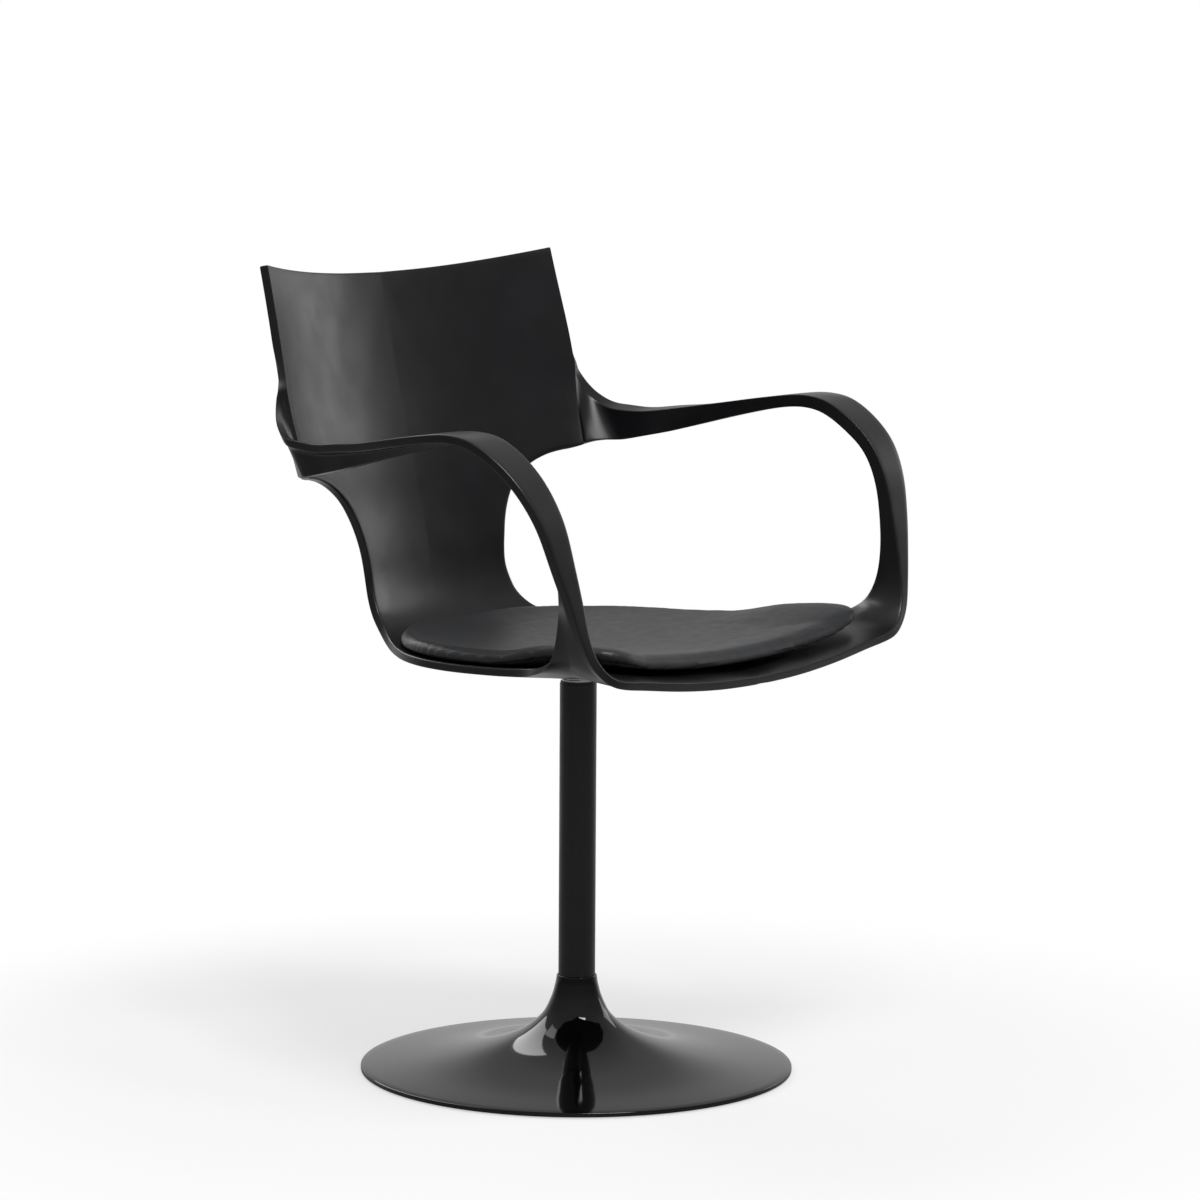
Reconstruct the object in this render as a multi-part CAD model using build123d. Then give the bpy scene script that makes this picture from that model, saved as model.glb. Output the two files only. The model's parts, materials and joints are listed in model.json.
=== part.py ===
from build123d import *
from math import asin, cos, hypot, radians, sin
import os

# Pedestal swivel armchair, millimetres. The origin is on the swivel axis at
# floor level, +Z is up and the sitter faces -Y.

# Clearances
seat_gap = 0.02              # between faces that rest on each other
fit_gap = 0.05               # radial, round parts pushed into each other
sleeve_gap = 0.15            # radial, round parts that slide over each other
screw_gap = 0.3              # radial, clearance holes for screws
through = 1.0                # a cutter reaches this far past what it cuts

# Column, its socket and the tie bolt
column_radius = 18.75
column_wall = 2.5
column_foot = 20.0
column_top = 398.0
socket_wall = 11.25
socket_top = 52.0
socket_floor = 12.0
flange_reach = 22.0
flange_thickness = 5.0
bolt_radius = 6.0
bolt_length = 32.0
bolt_head_height = 6.5
bolt_across_flats = 18.0
washer_radius = 17.0
washer_thickness = 2.5
plug_height = 30.0
weight_screw_radius = 3.0
weight_screw_length = 18.0
weight_screw_head_radius = 5.0
weight_screw_head = 4.0
column_bore = column_radius - column_wall
socket_radius = column_radius + socket_wall
flange_radius = socket_radius + flange_reach
weight_screw_circle = (socket_radius + flange_radius) / 2

# Base
base_radius = 220.0
base_skin = 2.4              # wall of the spun steel trumpet
rim_gap = 1.2                # painted rim above the floor
neck_wall = 1.4
neck_radius = column_radius + sleeve_gap + neck_wall
neck_collar = 17.0           # the neck's straight bore, down from its top edge
ring_setback = 6.0           # from the rim
ring_width = 11.0
ring_height = 8.0
weight_foot = 3.4            # the ballast stands on pads this high
weight_clearance = 2.2       # under the trumpet
weight_outer = 186.0
weight_set_down = 6.0        # below the top of the socket
weight_pad_radius, weight_pad_circle = 12.0, 150.0
ring_outer = base_radius - ring_setback
ring_inner = ring_outer - ring_width

# Swivel
running_gap = 0.05           # radial, between the spindle and its bushes
spindle_radius = 10.0
lower_bush_foot = 242.0
lower_bush_height = 24.0
upper_bush_height = 28.0
bush_flange_radius = 18.0
bush_flange = 2.5
race_gap = 0.3               # radial, round the spindle
race_width = 6.7
race_thickness = 1.5
ball_radius = 1.5
ball_setback = 3.4           # of the balls' circle from the inside of the races
ball_count = 14
ball_gap = 0.02
cage_reach = 2.5             # each side of the balls' circle
cage_thickness = 1.6
hub_radius = 17.0
hub_height = 4.5
spigot_radius = 12.0
end_play = 0.08              # between the lower bush and the retainer
retainer_gap = 1.75          # radial, inside the column
retainer_thickness = 2.5
retainer_screw_radius = 4.0
retainer_screw_length = 22.0
retainer_head_radius = 6.5
retainer_head_height = 5.0
retainer_socket_radius, retainer_socket_depth = 3.0, 3.0
race_inner = spindle_radius + race_gap
race_outer = race_inner + race_width
ball_circle = race_inner + ball_setback

# Seat plate and its screws
plate_size = 96.0
plate_thickness = 4.0
plate_corner = 12.0
plate_hole_setback = 12.0    # from the plate's sides
screw_radius = 3.0
screw_length = 12.0
screw_head_radius = 5.5
screw_head_height = 3.3
screw_socket_radius, screw_socket_depth = 2.3, 2.0
insert_radius = 4.2
insert_length = 9.5
insert_setback = 0.3         # below the face of the boss
mount_disc_radius = 48.0     # thick disc under the shell, round the spigot
mount_boss_radius = 11.0
plate_hole_pitch = plate_size - 2 * plate_hole_setback

# Heights up the swivel
race_foot = column_top + bush_flange
ball_height = race_foot + race_thickness + ball_gap + ball_radius
upper_race_foot = ball_height + ball_radius + ball_gap
hub_foot = upper_race_foot + race_thickness
plate_foot = hub_foot + hub_height
shell_foot = plate_foot + plate_thickness
spindle_end = lower_bush_foot - end_play

# Shell: its heights and the pad's are drawn for a mounting face at
# drawn_foot, and both are then lifted onto the seat plate.
drawn_foot = 415.04
shell_thickness = 8.5
back_corner_x, back_corner_z = 229.5, 821.5
back_dip_z = 803.0
back_corner_radius = 6.0
back_side_x, back_side_z = 233.0, 722.0
arm_root_x, arm_root_z = 206.0, 694.0
back_lower_z = 609.5
crook_in, crook_down = 59.0, 22.5   # the bend from the arm's root to the waist
waist_x, waist_z = 110.0, 499.0
seat_front_x, seat_front_y = 222.0, -226.0
seat_front_bow = 3.0
back_slab_front, back_slab_rear = 110.0, 350.0
seat_slab_foot, seat_slab_top = 385.0, 495.0
mount_top = 440.0            # inside the sheet, which trims it
mount_trim = 60.0

# Seat pad
tape_radius = 15.0
tape_thickness = 1.3
tape_gap = 0.06              # between the shell and the tapes on it
cover_thickness = 1.4
board_thickness = 2.5
pad_thickness = 17.0
pad_edge_radius = 6.0
pad_foot = tape_gap + 2 * tape_thickness
tape_places = [(-95, 70), (95, 70), (-120, -110), (120, -110)]
pad_cut_foot, pad_cut_top = 400.0, 500.0

# Outside of the trumpet: radius, height.
trumpet = [
    (neck_radius, 98), (neck_radius + 1.5, 89), (neck_radius + 5.9, 74), (neck_radius + 15.7, 56),
    (60, 37.5), (100, 22.8), (150, 13), (base_radius, 5.6),
]

# Middle line of the sitting face, from the top of the back to the front
# edge: y, z, radius of the cross curve, half width of the sheet there.
spine = [
    (265, 832, 585, 262),
    (253, 775, 566, 262),
    (240, 715, 560, 264),
    (226, 655, 590, 262),
    (209, 590, 560, 205),
    (196, 530, 520, 150),
    (190, 492, 520, 132),
    (178, 462, 560, 130),
    (152, 438.5, 640, 146),
    (118, 428.5, 850, 175),
    (60, 425.5, 1250, 214),
    (0, 426, 1500, 232),
    (-60, 427.5, 1520, 236),
    (-120, 430.5, 1450, 238),
    (-165, 432.5, 1350, 240),
    (-198, 431.5, 1320, 240),
    (-222, 427.5, 1320, 240),
    (-244, 421, 1320, 240),
]
seat_middle = (0, 426)       # of these, the one over the swivel: y, z

# Right half of the seat's outline from above, rear to front.
seat_side = [
    (waist_x + 8, 190), (waist_x + 7, 163), (146, 122), (190, 58), (206, -20), (214, -90),
    (seat_front_x, -150),
]

# The pad's outline from above: the right half, rear to front.
pad_side = [
    (58, 152), (98, 138), (135, 112), (166, 78), (187, 38), (199, -12), (206, -62), (211, -112),
    (212, -155), (200, -186), (160, -200), (84, -205),
]
pad_rear, pad_front = 156.0, -207.0

# Right arm. Each station: inner top corner of the ribbon, heading (0 outward,
# 90 forward), pitch (downward), lean (the web follows the back), bank (the foot
# rolls in under the seat), top width, depth of the inner face, web thickness.
arm_edge = 8.5
arm_stations = [
    ((200, 199.4, 690), 21.5, 0, 15, 0, 6.2, 80, 6.2),
    ((221, 192.2, 699), 25, 0, 15, 0, 6.4, 88, 6.4),
    ((239, 179, 693), 42, 0, 13, 0, 8, 80, 7.5),
    ((251, 160, 668), 62, 0, 9, 0, 10, 53, 8),
    ((260, 139, 655), 76, 0, 4, 0, 13, 37.5, 8.5),
    ((262, 110, 653), 84, -1, 0, 0, 17, 29, 8.5),
    ((265, 80, 655), 86, -4, 0, 0, 21.5, 24.8, 8.5),
    ((268, 48, 659.2), 88, -7, 0, 0, 27, 20.5, 8.5),
    ((270.5, 14, 664.5), 90, -9, 0, 0, 33.5, 17, 8.5),
    ((271.5, -20, 670), 90, -9, 0, 0, 40, 14.5, 8.5),
    ((272, -53, 674.7), 90, -6, 0, 0, 45.5, 12.7, 9),
    ((272, -84, 677.3), 90, 1, 0, 0, 49, 12, 9),
    ((272, -114, 672.3), 90, 19, 0, 0, 49.5, 11.5, 9),
    ((273, -146, 653.5), 90, 40, 0, 0, 46, 12, 9),
    ((274, -171, 629), 90, 55, 0, 0, 41, 13, 9),
    ((272, -189, 596), 90, 67, 0, 0, 35, 14, 9),
    ((270, -200, 556), 90, 76, 0, 0, 28, 17, 9),
    ((268, -208, 522), 90, 80, 0, 0, 20, 23, 9),
    ((266, -213, 494), 90, 84, 0, 6, 14, 33, 9),
    ((260, -217.5, 473), 90, 88, 0, 26, 11, 50, 8.5),
    ((247, -222, 457), 90, 91, 0, 47, 9, 78, 8.5),
    ((230, -225, 447.5), 90, 92, 0, 64, 8, 106, 8),
    ((208, -225.5, 441), 90, 92, 0, 80, 7, 118, 7),
]


def save(piece, node):
    piece.label = node
    export_step(piece, f"parts/{node}.step")


def lifted(piece):
    return Pos(0, 0, shell_foot - drawn_foot) * piece


def cylinder(radius, low, high, x=0.0, y=0.0):
    low_end = (Align.CENTER, Align.CENTER, Align.MIN)
    return Pos(x, y, low) * Cylinder(radius, high - low, align=low_end)


def sheet_section(place, before, after, low, high):
    """Slice of the sheet between two heights above the sitting face."""
    y, z, radius, half = place
    run, rise = after[0] - before[0], after[1] - before[1]
    length = hypot(run, rise)
    plane = Plane(origin=(0, y, z), x_dir=(1, 0, 0), z_dir=(0, run / length, rise / length))
    turn = asin(half / radius)

    def arc(height, side):
        r = radius - height
        end_x, end_z = side * r * sin(turn), radius - r * cos(turn)
        return ThreePointArc((end_x, end_z), (0, height), (-end_x, end_z))

    top, bottom = arc(high, 1), arc(low, -1)
    edges = [top, Line(top @ 1, bottom @ 0), bottom, Line(bottom @ 1, top @ 0)]
    return plane * make_face(edges)


def sheet(low, high):
    """A layer between two heights over the sitting face."""
    faces = []
    for i, place in enumerate(spine):
        before, after = spine[max(i - 1, 0)], spine[min(i + 1, len(spine) - 1)]
        faces.append(sheet_section(place, before, after, low, high))
    return loft(faces)


def back_outline():
    """The back and waist seen from the front, as a slab to keep."""
    right = [(back_corner_x, back_corner_z), (back_side_x, back_side_z), (back_side_x + 2, arm_root_z)]
    lower = [(arm_root_x, arm_root_z), (arm_root_x, back_lower_z)]
    points = right + lower
    half = [Polyline(*points)]
    crook = (arm_root_x - crook_in, back_lower_z - crook_down)
    half.append(ThreePointArc(points[-1], crook, (waist_x + 6, waist_z + 42)))
    half.append(ThreePointArc(half[-1] @ 1, (waist_x, waist_z), (waist_x + 7, waist_z - 44)))
    foot = half[-1] @ 1
    half.append(Line(foot, (foot.X, seat_slab_foot)))
    side = Curve() + half
    top = ThreePointArc((-back_corner_x, back_corner_z), (0, back_dip_z), (back_corner_x, back_corner_z))
    base = Line((foot.X, seat_slab_foot), (-foot.X, seat_slab_foot))
    flat = make_face([top, base, *side.edges(), *mirror(side, about=Plane.YZ).edges()])
    corners = [v for v in flat.vertices() if v.Y > back_corner_z - 1]
    flat = fillet(corners, back_corner_radius)
    return extrude(Plane.XZ.offset(-back_slab_rear) * flat, amount=back_slab_rear - back_slab_front)


def seat_outline():
    """The seat seen from above, as a slab to keep."""
    side = Spline(*seat_side)
    corner = (seat_front_x, seat_front_y)
    right = Curve() + [side, Line(side @ 1, corner)]
    front = ThreePointArc((-corner[0], corner[1]), (0, corner[1] - seat_front_bow), corner)
    rear = Line(seat_side[0], (-seat_side[0][0], seat_side[0][1]))
    flat = make_face([front, rear, *right.edges(), *mirror(right, about=Plane.YZ).edges()])
    flat -= Pos(0, seat_side[1][1] + seat_front_x) * Rectangle(2 * seat_front_x, 2 * seat_front_x)
    return Pos(0, 0, seat_slab_foot) * extrude(flat, amount=seat_slab_top - seat_slab_foot)


def arm_section(station):
    corner, yaw, pitch, lean, bank, width, depth, web = station
    diagonal = 0.1 + 0.4 * max(0, min(1, pitch / 60))
    yaw, pitch, lean, bank = radians(yaw), radians(pitch), radians(lean), radians(bank)
    up = Vector(0, 0, 1)
    ahead = Vector(cos(yaw), -sin(yaw), 0)
    across = Vector(sin(yaw), cos(yaw), 0)
    path = ahead * cos(pitch) - up * sin(pitch)
    inward = -ahead * sin(pitch) - up * cos(pitch)
    path, across = path * cos(bank) - across * sin(bank), across * cos(bank) + path * sin(bank)
    across = across * cos(lean) + inward * sin(lean)
    plane = Plane(origin=corner, x_dir=across, z_dir=-path)
    lip = (web + (width - web) * diagonal, arm_edge + (depth - arm_edge) * diagonal)
    points = [(0, 0), (width, 0), (width, arm_edge), lip, (web, depth), (0, depth)]
    return plane * make_face(Polyline(*points, close=True))


def arm():
    return loft([arm_section(station) for station in arm_stations])


def spots(radius, count, low, high, circle, first=45.0):
    """The same upright cylinder, repeated round the swivel axis."""
    one = cylinder(radius, low, high, circle)
    return [Rot(0, 0, first + 360 * i / count) * one for i in range(count)]


def ring(inner, outer, low, high):
    return cylinder(outer, low, high) - cylinder(inner, low - through, high + through)


def corners(pitch):
    half = pitch / 2
    return [(half, half), (-half, half), (-half, -half), (half, -half)]


def shifted(points, distance, closed=False):
    """A run of points moved to its right-hand side."""
    moved = []
    last = len(points) - 1
    for i, (x, y) in enumerate(points):
        before = points[i - 1] if i or closed else points[0]
        after = points[i + 1] if i < last else points[0 if closed else last]
        run, rise = after[0] - before[0], after[1] - before[1]
        length = hypot(run, rise)
        moved.append((x + distance * rise / length, y - distance * run / length))
    return moved


def under_trumpet(drop):
    """Everything inside the trumpet, this far below its outer face."""
    curve = Spline(*shifted(trumpet, drop))
    start, end = curve @ 0, curve @ 1
    edges = [curve, Line(end, (end.X, -through)), Line((end.X, -through), (0, -through))]
    edges += [Line((0, -through), (0, start.Y)), Line((0, start.Y), start)]
    return revolve(Plane.XZ * make_face(edges), Axis.Z)


def base_pieces():
    outside = under_trumpet(0)
    neck_top = trumpet[0][1]
    bore = column_radius + sleeve_gap
    skin = outside - under_trumpet(base_skin)
    skin += ring(bore, trumpet[1][0], neck_top - neck_collar, neck_top) & outside
    skin -= cylinder(bore, 0, neck_top + through)
    skin -= cylinder(base_radius + through, -2 * through, rim_gap)
    save(skin, "base_cover")

    floor_ring = ring(ring_inner, ring_outer, 0, ring_height) & under_trumpet(base_skin + seat_gap)
    save(floor_ring, "floor_ring")

    flange_top = socket_floor + flange_thickness
    weight = under_trumpet(base_skin + weight_clearance) & ring(
        socket_radius + fit_gap, weight_outer, weight_foot, socket_top - weight_set_down
    )
    weight -= cylinder(flange_radius + sleeve_gap, 0, flange_top)
    screw_top = socket_floor + weight_screw_length
    hole = weight_screw_radius + seat_gap
    weight -= spots(hole, 4, flange_top - through, screw_top + through, weight_screw_circle)
    save(weight, "base_weight")
    pads = spots(weight_pad_radius, 4, 0, weight_foot, weight_pad_circle)
    save(Compound(children=pads), "weight_pads")

    socket = cylinder(socket_radius, socket_floor, socket_top)
    socket += cylinder(flange_radius, socket_floor, flange_top)
    socket -= cylinder(column_radius + fit_gap, column_foot, socket_top + through)
    socket -= cylinder(bolt_radius + screw_gap, 0, column_foot + through)
    socket -= spots(weight_screw_radius + screw_gap, 4, 0, flange_top + through, weight_screw_circle)
    save(socket, "column_socket")

    screws = []
    head_foot = socket_floor - weight_screw_head
    heads = spots(weight_screw_head_radius, 4, head_foot, socket_floor, weight_screw_circle)
    shanks = spots(weight_screw_radius, 4, head_foot + through, screw_top, weight_screw_circle)
    for head, shank in zip(heads, shanks):
        screws.append(head + shank)
    save(Compound(children=screws), "weight_screws")


def column_pieces():
    save(ring(column_bore, column_radius, column_foot, column_top), "column_tube")

    bolt_top = socket_floor - washer_thickness + bolt_length
    plug = cylinder(column_bore - fit_gap, column_foot, column_foot + plug_height)
    plug -= cylinder(bolt_radius + seat_gap, column_foot - through, bolt_top + through)
    save(plug, "column_plug")

    washer_foot = socket_floor - washer_thickness
    save(ring(bolt_radius + screw_gap, washer_radius, washer_foot, socket_floor), "tie_washer")
    hexagon = RegularPolygon(bolt_across_flats / 2, 6, major_radius=False)
    bolt = Pos(0, 0, washer_foot - bolt_head_height) * extrude(hexagon, bolt_head_height)
    bolt += cylinder(bolt_radius, washer_foot - through, bolt_top)
    save(bolt, "tie_bolt")

    shaft = spindle_radius + running_gap
    lower_top = lower_bush_foot + lower_bush_height
    save(ring(shaft, column_bore - fit_gap, lower_bush_foot, lower_top), "lower_bush")
    bush = cylinder(column_bore - fit_gap, column_top - upper_bush_height, column_top)
    bush += cylinder(bush_flange_radius, column_top, race_foot)
    bush -= cylinder(shaft, 0, race_foot + through)
    save(bush, "upper_bush")


def bearing_pieces():
    save(ring(race_inner, race_outer, race_foot, race_foot + race_thickness), "thrust_race_lower")
    cage_foot = ball_height - cage_thickness / 2
    cage_top = cage_foot + cage_thickness
    cage = ring(ball_circle - cage_reach, ball_circle + cage_reach, cage_foot, cage_top)
    pocket = ball_radius + fit_gap
    cage -= spots(pocket, ball_count, cage_foot - through, cage_top + through, ball_circle, 0)
    save(cage, "bearing_cage")
    ball = Pos(ball_circle, 0, ball_height) * Sphere(ball_radius)
    balls = [Rot(0, 0, 360 * i / ball_count) * ball for i in range(ball_count)]
    save(Compound(children=balls), "bearing_balls")
    save(ring(race_inner, race_outer, upper_race_foot, hub_foot), "thrust_race_upper")


def spindle_pieces():
    thread_top = spindle_end - retainer_thickness + retainer_screw_length
    spindle = cylinder(spindle_radius, spindle_end, hub_foot + through)
    spindle += cylinder(hub_radius, hub_foot, plate_foot)
    spindle += cylinder(spigot_radius, plate_foot, shell_foot - sleeve_gap)
    spindle -= cylinder(retainer_screw_radius + seat_gap, spindle_end - through, thread_top + 2 * through)
    save(spindle, "spindle")

    washer_foot = spindle_end - retainer_thickness
    hole = retainer_screw_radius + screw_gap
    save(ring(hole, column_bore - retainer_gap, washer_foot, spindle_end), "retainer_washer")
    head_foot = washer_foot - retainer_head_height
    screw = cylinder(retainer_head_radius, head_foot, washer_foot)
    screw += cylinder(retainer_screw_radius, washer_foot - through, thread_top)
    socket = RegularPolygon(retainer_socket_radius, 6)
    screw -= Pos(0, 0, head_foot) * extrude(socket, retainer_socket_depth)
    save(screw, "retainer_screw")


def plate_pieces():
    plate = extrude(RectangleRounded(plate_size, plate_size, plate_corner), plate_thickness)
    plate = Pos(0, 0, plate_foot) * plate
    plate -= cylinder(spigot_radius + seat_gap, plate_foot - through, shell_foot + through)
    screws = []
    inserts = []
    head_foot = plate_foot - screw_head_height
    insert_foot = shell_foot + insert_setback
    insert_top = insert_foot + insert_length
    socket = RegularPolygon(screw_socket_radius, 6)
    for x, y in corners(plate_hole_pitch):
        plate -= cylinder(screw_radius + screw_gap, plate_foot - through, shell_foot + through, x, y)
        screw = cylinder(screw_head_radius, head_foot, plate_foot, x, y)
        screw -= Pos(x, y, head_foot) * extrude(socket, screw_socket_depth)
        screw += cylinder(screw_radius, plate_foot - through, plate_foot + screw_length, x, y)
        screws.append(screw)
        insert = cylinder(insert_radius, insert_foot, insert_top, x, y)
        insert -= cylinder(screw_radius + seat_gap, shell_foot, insert_top + through, x, y)
        inserts.append(insert)
    save(plate, "seat_plate")
    save(Compound(children=screws), "plate_screws")
    save(Compound(children=inserts), "shell_inserts")


def shell_piece():
    shell = sheet(-shell_thickness, 0) & (back_outline() + seat_outline())
    right = arm()
    shell = shell + right + mirror(right, about=Plane.YZ)
    mount = cylinder(mount_disc_radius, drawn_foot, mount_top)
    for x, y in corners(plate_hole_pitch):
        mount += cylinder(mount_boss_radius, drawn_foot, mount_top, x, y)
    shell += mount - sheet(-shell_thickness / 2, mount_trim)
    bore_top = drawn_foot + insert_setback + insert_length + fit_gap
    for x, y in corners(plate_hole_pitch):
        shell -= cylinder(insert_radius + seat_gap, drawn_foot - through, bore_top, x, y)
    save(lifted(shell), "seat_shell")


def sitting_face():
    low, high = sheet(-shell_thickness, 0).faces().sort_by(SortBy.AREA)[-2:]
    middle = Vertex(0, *seat_middle)
    return low if low.distance_to(middle) < high.distance_to(middle) else high


def pad_outline(inset):
    left = [(-x, y) for x, y in reversed(pad_side)]
    loop = [(0, pad_rear), *pad_side, (0, pad_front), *left]
    flat = make_face(Spline(*shifted(loop, inset, closed=True), periodic=True))
    return Pos(0, 0, pad_cut_foot) * extrude(flat, amount=pad_cut_top - pad_cut_foot)


def raised(face, low, high):
    return extrude(Pos(0, 0, low) * face, amount=high - low, dir=(0, 0, 1))


def pad_form(face, low, inset):
    """The pad or what lies inside its cover, rounded round the top."""
    high = pad_foot + pad_thickness - inset
    body = raised(face, low, high)
    top = body.faces().sort_by(SortBy.AREA)[-2:].sort_by(Axis.Z)[-1]
    return fillet(top.edges(), pad_edge_radius - inset)


def pad_pieces():
    face = sitting_face()
    hooks = []
    loops = []
    for x, y in tape_places:
        spot = (face & cylinder(tape_radius, pad_cut_foot, pad_cut_top, x, y)).face()
        hooks.append(lifted(raised(spot, tape_gap, tape_gap + tape_thickness)))
        loops.append(lifted(raised(spot, tape_gap + tape_thickness, pad_foot)))
    save(Compound(children=hooks), "hook_tapes")
    save(Compound(children=loops), "loop_tapes")

    board_foot = pad_foot + cover_thickness
    board_top = board_foot + board_thickness
    whole = (face & pad_outline(0)).face()
    inner = (face & pad_outline(cover_thickness)).face()
    cover = pad_form(whole, pad_foot, 0) - pad_form(inner, board_foot, cover_thickness)
    save(lifted(cover), "pad_cover")
    save(lifted(raised(inner, board_foot, board_top)), "pad_board")
    save(lifted(pad_form(inner, board_top, cover_thickness)), "pad_foam")


os.makedirs("parts", exist_ok=True)
base_pieces()
column_pieces()
bearing_pieces()
spindle_pieces()
plate_pieces()
shell_piece()
pad_pieces()
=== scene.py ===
import json
import math

import bmesh
import bpy
from mathutils import Matrix, Vector


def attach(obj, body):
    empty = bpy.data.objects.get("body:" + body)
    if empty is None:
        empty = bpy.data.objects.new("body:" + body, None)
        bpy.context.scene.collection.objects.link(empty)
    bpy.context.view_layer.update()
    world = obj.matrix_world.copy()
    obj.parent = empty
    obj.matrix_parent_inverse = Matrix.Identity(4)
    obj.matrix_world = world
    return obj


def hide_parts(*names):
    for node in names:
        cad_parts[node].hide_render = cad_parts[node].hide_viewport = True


# Pedestal swivel armchair. Metres, +Z up, the sitter faces -Y.
# Sizes in the dictionaries are millimetres where no other unit is given.

mm = 0.001
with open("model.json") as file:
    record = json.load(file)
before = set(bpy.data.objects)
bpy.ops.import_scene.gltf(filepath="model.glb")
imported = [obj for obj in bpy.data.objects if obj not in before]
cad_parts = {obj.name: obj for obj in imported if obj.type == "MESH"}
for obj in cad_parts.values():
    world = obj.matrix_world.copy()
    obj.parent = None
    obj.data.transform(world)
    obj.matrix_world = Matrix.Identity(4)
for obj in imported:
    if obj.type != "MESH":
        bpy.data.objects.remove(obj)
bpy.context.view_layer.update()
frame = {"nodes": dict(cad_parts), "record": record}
print("frame loaded:", len(frame["nodes"]), "nodes")


def linear(code):  # sRGB hex to the linear colour that shaders take
    parts = [int(code[i : i + 2], 16) / 255 for i in (1, 3, 5)]
    return [c / 12.92 if c < 0.04045 else ((c + 0.055) / 1.055) ** 2.4 for c in parts] + [1.0]


def addNode(tree, kind, settings=None, links=None):
    node = tree.nodes.new("ShaderNode" + kind)
    for key, value in (settings or {}).items():
        if isinstance(key, int) or key in node.inputs:
            node.inputs[key].default_value = value
        else:
            setattr(node, key, value)
    for key, (source, output) in (links or {}).items():
        tree.links.new(source.outputs[output], node.inputs[key])
    return node


def newMaterial(name):
    material = bpy.data.materials.new(name)
    material.use_nodes = True
    return material, material.node_tree, material.node_tree.nodes["Principled BSDF"]


def setShader(shader, **values):
    for key, value in values.items():
        shader.inputs[key.replace("_", " ")].default_value = value


def grainBump(tree, shader, size, strength, depth, detail=2.0):
    # size and depth in mm: the width and the height of the grain
    place = addNode(tree, "TexCoord")
    noise = addNode(
        tree,
        "TexNoise",
        {"Scale": 1 / (size * mm), "Detail": detail},
        {"Vector": (place, "Object")},
    )
    bump = addNode(
        tree, "Bump", {"Strength": strength, "Distance": depth * mm}, {"Height": (noise, "Fac")}
    )
    tree.links.new(bump.outputs["Normal"], shader.inputs["Normal"])
    return place


def mottle(tree, shader, socket, place, size, low, high):
    # slow variation over the surface, size in mm, between two values or two hex colours
    noise = addNode(
        tree, "TexNoise", {"Scale": 1 / (size * mm), "Detail": 3.0}, {"Vector": (place, "Object")}
    )
    start, end = 0.35, 0.65  # most of the noise lies between these
    if isinstance(low, str):
        ramp = addNode(tree, "ValToRGB", {}, {"Fac": (noise, "Fac")})
        ramp.color_ramp.elements[0].position = start
        ramp.color_ramp.elements[1].position = end
        ramp.color_ramp.elements[0].color = linear(low)
        ramp.color_ramp.elements[1].color = linear(high)
        tree.links.new(ramp.outputs["Color"], shader.inputs[socket])
    else:
        spread = addNode(
            tree,
            "MapRange",
            {"From Min": start, "From Max": end, "To Min": low, "To Max": high},
            {"Value": (noise, "Fac")},
        )
        tree.links.new(spread.outputs["Result"], shader.inputs[socket])


def mouldedPolypropylene():
    # injection-moulded polypropylene: dyed through, satin, blurred reflections. The fine
    # spark-eroded grain, about 0.2 mm, is drawn 0.9 mm wide so that it shows.
    material, tree, shader = newMaterial("mouldedPolypropylene")
    setShader(shader, Base_Color=linear("#0c0c0f"), Roughness=0.33, IOR=1.49)
    place = grainBump(tree, shader, size=0.9, strength=0.12, depth=0.03)
    mottle(tree, shader, "Base Color", place, size=60, low="#0b0b0e", high="#0d0d11")
    mottle(tree, shader, "Roughness", place, size=35, low=0.3, high=0.37)
    return material


def blackLacquer():
    # stoved gloss lacquer on spun steel: a mirror coat with a faint orange peel, 4 mm wide
    material, tree, shader = newMaterial("blackLacquer")
    setShader(shader, Base_Color=linear("#060607"), Roughness=0.06, IOR=1.45)
    place = grainBump(tree, shader, size=4.0, strength=0.05, depth=0.02)
    mottle(tree, shader, "Roughness", place, size=80, low=0.05, high=0.08)
    return material


def satinPowderCoat():
    # satin powder coat on steel tube: fine pebble, blurred highlights. The pebble, about
    # 0.3 mm, is drawn 0.7 mm wide so that it shows.
    material, tree, shader = newMaterial("satinPowderCoat")
    setShader(shader, Base_Color=linear("#0f0f11"), Roughness=0.38, IOR=1.5)
    place = grainBump(tree, shader, size=0.7, strength=0.15, depth=0.03)
    mottle(tree, shader, "Roughness", place, size=30, low=0.34, high=0.42)
    return material


def blackLeather():
    # drum-dyed upholstery leather: pebbled grain 1.1 mm wide over soft folds 14 mm wide,
    # a waxy sheen
    material, tree, shader = newMaterial("blackLeather")
    setShader(
        shader,
        Base_Color=linear("#18191c"),
        Roughness=0.46,
        IOR=1.5,
        Sheen_Weight=0.08,
        Sheen_Roughness=0.4,
    )
    place = addNode(tree, "TexCoord")
    cells = addNode(
        tree,
        "TexVoronoi",
        {"feature": "DISTANCE_TO_EDGE", "Scale": 1 / (1.1 * mm)},
        {"Vector": (place, "Object")},
    )
    fold = addNode(
        tree, "TexNoise", {"Scale": 1 / (14 * mm), "Detail": 4.0}, {"Vector": (place, "Object")}
    )
    coarse = addNode(
        tree, "Bump", {"Strength": 0.06, "Distance": 0.4 * mm}, {"Height": (fold, "Fac")}
    )
    fine = addNode(
        tree,
        "Bump",
        {"Strength": 0.22, "Distance": 0.08 * mm},
        {"Height": (cells, "Distance"), "Normal": (coarse, "Normal")},
    )
    tree.links.new(fine.outputs["Normal"], shader.inputs["Normal"])
    mottle(tree, shader, "Base Color", place, size=25, low="#17181b", high="#1a1b1e")
    mottle(tree, shader, "Roughness", place, size=12, low=0.44, high=0.5)
    return material


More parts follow.
